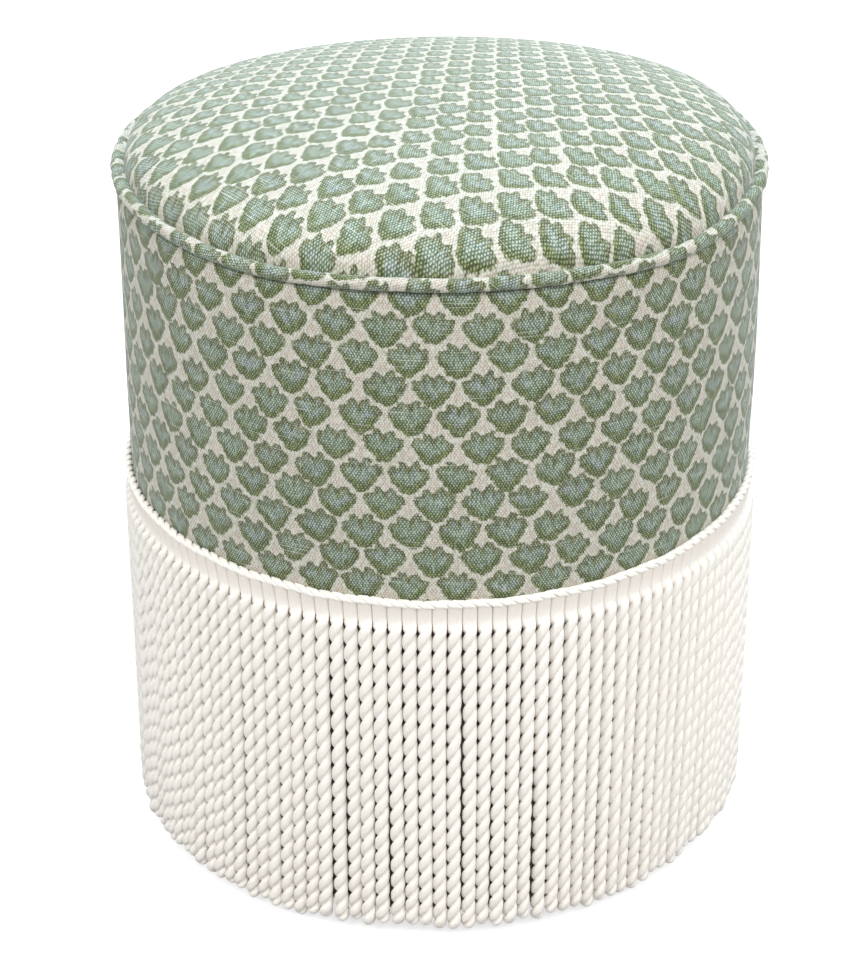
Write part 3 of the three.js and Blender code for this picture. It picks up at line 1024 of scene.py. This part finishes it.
def model_side_cover():
    """One panel round the drum, turned under at its foot and sewn in along the piping."""
    foot = [
        (TURN_UNDER_RADIUS, TURN_UNDER_HEIGHT), (0.1925, TURN_UNDER_HEIGHT), (0.1950, 0.0138),
        (0.1961, 0.0156), (LOWER_COVER_RADIUS, 0.0200),
    ]
    lower = [(LOWER_COVER_RADIUS, 0.0200), (LOWER_COVER_RADIUS, HEADER_BOTTOM)]
    upper = [
        (LOWER_COVER_RADIUS, HEADER_BOTTOM), (0.1980, 0.2290), (0.1993, HEADER_TOP), (0.1997, 0.2390),
        (SIDE_COVER_RADIUS, 0.2430), (SIDE_COVER_RADIUS, 0.4270), (0.1993, 0.4300), (0.1984, 0.4328),
        (0.1970, 0.4349), (0.1950, 0.4358),
    ]
    line = finer_line(foot, 0.012) + finer_line(lower, 0.014)[1:] + finer_line(upper, 0.006)[1:]
    cover = draw_profile("side_cover_linen", line)
    spin_round(cover, 256, 2 * math.pi - 0.001)
    points = points_of(cover)
    bearing = bearings(points)
    height = points[:, 2]
    shown = part_way(height, 0.250, 0.280) * part_way(height, 0.432, 0.412)
    padding = 0.0004 * np.sin(3 * bearing + 9 * height) + 0.0003 * np.sin(7 * bearing - 31 * height + 1)
    belly = 0.0008 * np.sin(np.pi * part_way(height, 0.24, 0.435))
    radius = radii(points) + shown * padding + belly
    raised = height + side_rim_wave(points)
    raised += cord_wave(bearing) * np.exp(-((raised - 0.236) / 0.02) ** 2)
    set_points(cover, round_drum(bearing, radius, raised))
    lay_cloth(cover, place_side_cloth)

    # The two ends of the panel turn in along the back seam
    edit_all(cover)
    bpy.ops.mesh.normals_make_consistent(inside=False)
    stop_editing()
    turn_outwards(cover)
    points = points_of(cover)
    at_seam = (np.abs(points[:, 0]) < 0.0003) & (points[:, 1] > 0)
    ends = [edge.index for edge in cover.data.edges if at_seam[list(edge.vertices)].all()]
    push_out(cover, "EDGE", ends, (0.0, -0.0007, 0.0))
    apply_modifier(cover, "SOLIDIFY", thickness=LINEN_THICKNESS, offset=-1.0)
    return hand_over(cover, "side_cover", "printed_linen", 60)


def model_side_wadding():
    """Thin wadding round the wall, its upper edge rounded off under the piping's seam."""
    bottom = HEADER_TOP + 0.0002
    line = [
        (WALL_RADIUS, bottom), (0.1982, bottom), (0.1985, 0.2380), (0.1985, 0.4270), (0.1981, 0.4304),
        (0.1970, 0.4328), (0.1955, SIDE_WADDING_TOP),
    ]
    for step in range(11):
        line.append((WALL_RADIUS, SIDE_WADDING_TOP - (SIDE_WADDING_TOP - bottom) * step / 10))
    wadding = draw_profile("side_wadding_roll", line)
    spin_round(wadding, 180)
    points = points_of(wadding)
    points[:, 2] += side_rim_wave(points)
    set_points(wadding, points)
    face_outwards(wadding)
    hand_over(wadding, "side_wadding", "polyester_wadding")
    return wadding


# The bullion fringe

def two_plies(sides, thickness, width, offset):
    """Outline of two plies pressed side by side, starting in the crease between them."""
    crease = math.acos(-offset / thickness)
    half = sides // 2
    outline = []
    for ply in (1, -1):
        for step in range(half):
            turn = -crease + 2 * crease * step / half
            across = offset + thickness * math.cos(turn)
            outline.append((ply * across, ply * width * math.sin(turn)))
    return np.array(outline)


def keep_yarn(piece, yarn):
    attribute = piece.data.attributes.new("yarn", "FLOAT_VECTOR", "POINT")
    attribute.data.foreach_set("vector", np.ascontiguousarray(yarn).ravel())


def model_edge_cord():
    """Fine two-ply cord sewn along the top of the fringe."""
    sides = EDGE_CORD_SIDES
    steps = EDGE_CORD_TURNS * 14
    cord = bend_round("fringe_edge_cord_twisted", sides, 0.0022, EDGE_CORD_RADIUS, EDGE_CORD_HEIGHT, steps)
    points = points_of(cord)
    bearing = bearings(points)
    corner = np.arctan2(points[:, 2] - EDGE_CORD_HEIGHT, radii(points) - EDGE_CORD_RADIUS)
    corner = np.round(corner / (2 * math.pi / sides)).astype(int) % sides
    outline = two_plies(sides, *EDGE_CORD_PLIES)[corner]
    out, up = turned(outline[:, 0], outline[:, 1], -EDGE_CORD_TURNS * bearing)
    keep_yarn(cord, np.column_stack([outline, bearing * EDGE_CORD_RADIUS]))
    height = EDGE_CORD_HEIGHT + up + cord_wave(bearing)
    height += 0.0003 * np.sin(bearing * 23) + 0.0002 * np.sin(bearing * 57 + 1)
    set_points(cord, round_drum(bearing, EDGE_CORD_RADIUS + out, height))
    face_outwards(cord)
    return hand_over(cord, "fringe_edge_cord", "ivory_bullion", 50, ivory_yarn("ivory edge cord"))


def model_header_tape():
    """Woven tape that the strands hang from, hidden behind their flat necks."""
    tape = draw_profile("fringe_header_tape", [
        (TAPE_RADIUS, 0.2215), (TAPE_RADIUS + 0.0004, 0.2215), (0.2003, 0.2350), (0.1999, 0.2350),
        (TAPE_RADIUS, 0.2215),
    ])
    spin_round(tape, 240)
    points = points_of(tape)
    points[:, 2] += cord_wave(bearings(points))
    set_points(tape, points)
    face_outwards(tape)
    return hand_over(tape, None, "ivory_bullion", 40, woven_tape())


def strand_levels():
    """Shares of a strand's length at which it has a ring of points, closer at both ends."""
    neck = [0.0, 0.02, 0.04, 0.056]
    body = list(np.linspace(0.056, 0.982, 114))[1:]
    tip = [0.9875, 0.992, 0.9955, 0.998, 0.9994, 1.0]
    return np.array(neck + body + tip)


def model_plain_strand(falls):
    """A straight, untwisted strand with a ring of points at each distance below its top."""
    clear_selection()
    bpy.ops.mesh.primitive_circle_add(
        vertices=STRAND_SIDES, radius=0.004, fill_type="NGON", location=(0.0, 0.0, 0.0)
    )
    strand = rename("bullion_strand")
    edit_all(strand)
    for drop in np.diff(falls):
        extrude(0.0, 0.0, -drop)
    bpy.ops.mesh.select_all(action="SELECT")
    bpy.ops.mesh.normals_make_consistent(inside=False)
    stop_editing()
    return strand


def strand_swings():
    """How far each strand's lower end swings round the drum, leaving a gap here and there."""
    gaps = np.array([dice.uniform(0.0, 0.6) for _ in range(STRAND_COUNT)])
    for _ in range(22):
        gaps[dice.randrange(STRAND_COUNT)] += dice.uniform(0.5, 1.1)
    gaps = gaps / gaps.sum()
    drift = np.cumsum(gaps) - gaps[0] - np.arange(STRAND_COUNT) / STRAND_COUNT
    slack = 2 * math.pi * STRAND_RING_RADIUS - STRAND_COUNT * STRAND_WIDTH
    return (drift - drift.mean()) * slack


def strand_parting(number):
    """How far a strand is pushed aside half way down, next to the places where the fringe parts."""
    pushed = 0.0
    for place, width in PARTINGS:
        away = number - place
        pushed += math.copysign(width * math.exp(-(abs(away) - 0.5) / 2.2), away)
    return pushed


def strand_section(outline, corner, loose, share):
    """A strand's outline: flat in the header, two plies below it and a closed loop at the end."""
    turn = 2 * math.pi * corner / STRAND_SIDES - math.pi / 2
    cosine = np.cos(turn)
    sine = np.sin(turn)
    flat = np.column_stack([
        NECK_HALF_WIDTH * np.sign(cosine) * np.abs(cosine) ** 0.65,
        NECK_HALF_THICKNESS * np.sign(sine) * np.abs(sine) ** 0.9,
    ])
    loop = np.column_stack([LOOP_HALF_WIDTH * cosine, LOOP_HALF_THICKNESS * sine])
    section = flat + (outline - flat) * loose[:, None]

    # The loop at the lower end fills out the crease
    section += (loop - section) * (0.75 * part_way(share, 0.972, 0.988))[:, None]
    tip = part_way(share, 0.982, 1.0)
    closing = np.sqrt(np.clip(1 - tip ** 2, 0.0004, 1))
    bulge = 1 + 0.06 * np.exp(-((share - 0.972) / 0.012) ** 2)
    return (section * (closing * bulge)[:, None]).T


def strand_shape(share, corner, number, swing, phase, pace):
    """Points of one strand and its untwisted yarn, from the rings and corners of the plain one."""
    bearing = (2 * math.pi * number / STRAND_COUNT + math.pi) % (2 * math.pi) - math.pi
    degrees = math.degrees(bearing)
    top = HEADER_TOP + 0.0012 + float(cord_wave(bearing))
    end = STRAND_END_HEIGHT + 0.0016 + 0.0012 * math.sin(number * 0.37) + dice.uniform(-0.0016, 0.0020)
    end += float(wave(bearing, 52, 22, 0.0012))
    height = top - (top - end) * share
    fall = np.clip((HEADER_BOTTOM + 0.002 - height) / (HEADER_BOTTOM - end), 0, 1)

    # Flat neck in the header, twisted two-ply cord below it
    loose = part_way(height, NECK_BOTTOM, NECK_BOTTOM - 0.0045)
    loose = loose * loose * (3 - 2 * loose)
    depth = np.clip(NECK_BOTTOM - 0.0006 - height, 0, None)
    twist = pace * 2 * math.pi * (depth / STRAND_TWIST + 0.45 * fall ** 4) + phase * fall
    outline = two_plies(STRAND_SIDES, *STRAND_PLIES)[corner]
    across, out = turned(*strand_section(outline, corner, loose, share), twist)

    # The line it hangs on: down the slanted header, out over its edge, then free
    header_line = HEADER_RADIUS + 0.0021 * part_way(height, HEADER_BOTTOM, HEADER_TOP)
    line = header_line + (STRAND_RING_RADIUS - header_line) * loose
    splay = 0.0040 * math.exp(-((degrees + 42) / 24) ** 2) - 0.0022 * math.exp(-((degrees - 58) / 26) ** 2)
    splay += 0.0007 * math.sin(number * 1.7) + dice.uniform(-0.0005, 0.0005)
    bow = dice.uniform(-0.0005, 0.0005)
    line = line + splay * fall ** 2 + bow * np.sin(math.pi * fall)
    sway = swing * fall ** 1.6 + dice.uniform(-0.00035, 0.00035) * np.sin(2 * math.pi * fall)
    sway += strand_parting(number) * np.sin(math.pi * fall ** 1.2)
    points = round_drum(bearing + (across + sway) / STRAND_RING_RADIUS, line + out, height)
    return points, np.column_stack([outline, -height])


def model_strands():
    """All the strands, each with its own twist and swing, joined into groups round the drum."""
    levels = strand_levels()
    falls = levels * (HEADER_TOP - STRAND_END_HEIGHT)
    plain = model_plain_strand(falls)
    base = points_of(plain)
    share = levels[np.abs(-base[:, 2][:, None] - falls[None, :]).argmin(axis=1)]
    corner = np.round(np.arctan2(base[:, 1], base[:, 0]) / (2 * math.pi / STRAND_SIDES))
    corner = (corner.astype(int) + STRAND_SIDES // 4) % STRAND_SIDES
    swings = strand_swings()
    phase = 0.0
    groups = []
    for group in range(STRAND_GROUPS):
        first = round(STRAND_COUNT * group / STRAND_GROUPS)
        last = round(STRAND_COUNT * (group + 1) / STRAND_GROUPS)
        copies = []
        for number in range(first, last):
            phase = 0.82 * phase + dice.uniform(-0.75, 0.75)
            pace = 1 + dice.uniform(-0.025, 0.025)
            points, yarn = strand_shape(share, corner, number, swings[number], phase, pace)
            copy = copy_of(plain)
            set_points(copy, points)
            keep_yarn(copy, yarn + np.array([number * 0.013, 0.0, 0.0]))
            copies.append(copy)
        joined = join(copies, f"bullion_strands_{group + 1}")
        groups.append(hand_over(joined, "bullion_fringe", "ivory_bullion", 48))
    bpy.data.objects.remove(plain)
    return groups


# The underside

def model_dust_cover():
    """Black cloth under the base, its edge folded double."""
    line = finer_line([(0.0, DUST_COVER_HEIGHT), (DUST_COVER_RADIUS, DUST_COVER_HEIGHT)], 0.012)
    cover = draw_profile("dust_cover_cloth", line)
    spin_round(cover, 96)
    points = points_of(cover)
    bearing = bearings(points)
    radius = radii(points)
    sag = -0.0009 + 0.0004 * np.sin(5 * bearing + radius * 60) + 0.0002 * np.sin(11 * bearing)
    points[:, 2] += part_way(radius, 0.165, 0.115) * sag
    set_points(cover, points)
    apply_modifier(cover, "SOLIDIFY", thickness=0.0004, offset=0.0)
    face_outwards(cover)
    folded = [
        face.index for face in cover.data.polygons
        if face.normal.z < -0.5 and 0.1700 < face.center.xy.length < 0.1816
    ]
    push_out(cover, "FACE", folded, (0.0, 0.0, -0.0004))
    hand_over(cover, "dust_cover", "dust_cloth", 40)


def model_staples():
    """Staples that hold the dust cover and the linen to the base."""
    clear_selection()
    bpy.ops.mesh.primitive_cube_add(size=1.0, location=(0.0, 0.0, 0.0))
    staple = rename("staple")
    staple.scale = (0.0100, 0.0012, 0.0006)
    bpy.ops.object.transform_apply(location=False, rotation=False, scale=True)
    edit_all(staple)
    bpy.ops.mesh.bevel(offset=0.0002, segments=1, affect="EDGES")
    stop_editing()
    across, back, up = points_of(staple).T
    copies = []
    for number in range(STAPLE_COUNT):
        bearing = 2 * math.pi * (number + dice.uniform(-0.12, 0.12)) / STAPLE_COUNT
        radius = STAPLE_RADIUS + dice.uniform(-0.0012, 0.0012)
        skewed = turned(across, back, bearing + dice.uniform(-0.14, 0.14))
        middle = (math.sin(bearing) * radius, -math.cos(bearing) * radius, STAPLE_HEIGHT)
        copy = copy_of(staple)
        set_points(copy, np.column_stack([*skewed, up]) + np.array(middle))
        copies.append(copy)
    bpy.data.objects.remove(staple)
    staples = join(copies, "base_staples")
    face_outwards(staples)
    hand_over(staples, None, "zinc_screw", 0)


# Putting it together

set_up_camera()
set_up_stage()

FINISHES = {
    "plywood": birch_plywood(),
    "batten_timber": pine_batten(),
    "seat_foam": seat_foam(),
    "polyester_wadding": polyester_wadding(),
    "filler_cord": filler_cord(),
    "glide_plastic": glide_plastic(),
    "zinc_screw": zinc_plate(),
    "dust_cloth": dust_cloth(),
    "printed_linen": printed_linen(),
    "ivory_bullion": ivory_yarn("ivory bullion yarn", painted_neck_shade=True),
}

pad = model_seat_wadding()
side_wadding = model_side_wadding()
seat_cover = model_seat_cover()
piping = model_piping()
model_piping_cord()
side_cover = model_side_cover()
edge_cord = model_edge_cord()
tape = model_header_tape()
strands = model_strands()
model_dust_cover()
model_staples()

for part in frame["record"]["subparts"]:
    node = bpy.data.objects[part["node"]]
    for place in node.material_slots:
        place.material = FINISHES[part["material_slot"]]
